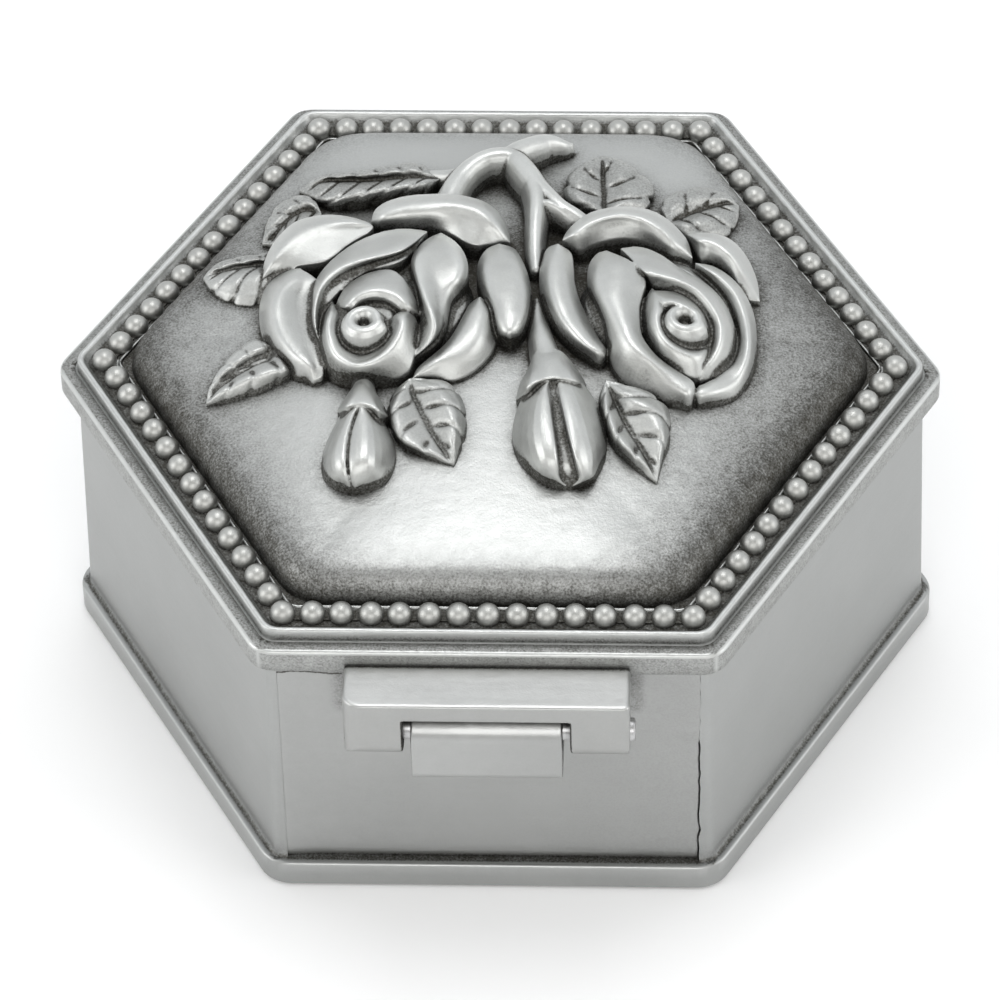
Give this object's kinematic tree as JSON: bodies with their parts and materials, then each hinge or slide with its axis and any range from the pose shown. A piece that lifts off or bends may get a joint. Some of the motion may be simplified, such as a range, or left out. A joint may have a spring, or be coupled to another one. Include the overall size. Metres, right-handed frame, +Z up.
{
  "type": "rosary box",
  "caption": "Six-sided cast pewter-finish keepsake box for a rosary: hinged domed lid with a beaded border and a raised rose spray, velvet lining and a felted base.",
  "frame": {"origin": "middle of the six-sided base, on the surface that the box stands on", "axes": "+Z up out of the lid; the hinge wall faces -Y, which is the side the picture shows; +X to the right seen from the hinge side, from corner to corner"},
  "size_m": [0.0766, 0.0717, 0.0401],
  "materials": {
    "pewter": "satin antique pewter, darkened in the recesses",
    "pewter_relief": "antique pewter, rubbed bright on the high points",
    "steel": "drawn wire",
    "velvet": "short-pile velvet",
    "felt": "pressed felt",
    "card": "grey board"
  },
  "bodies": {
    "box": {"box_casting": "pewter", "hinge_plate": "pewter", "base_felt": "felt", "floor_card": "card", "floor_velvet": "velvet", "wall_lining": "velvet"},
    "lid": {"lid_casting": "pewter", "bead_border": "pewter", "hinge_bracket": "pewter", "hinge_pin": "steel", "lid_card": "card", "lid_velvet": "velvet", "rose_left": "pewter_relief", "rose_right": "pewter_relief", "rosebud_left": "pewter_relief", "rosebud_right": "pewter_relief", "rose_leaves": "pewter_relief", "rose_branch": "pewter_relief"}
  },
  "joints": [
    {"name": "lid_hinge", "type": "hinge", "parent": "box", "child": "lid", "pos_m": [0, -0.0361, 0.02375], "axis": [1, 0, 0], "range_deg": [0, 105]}
  ]
}
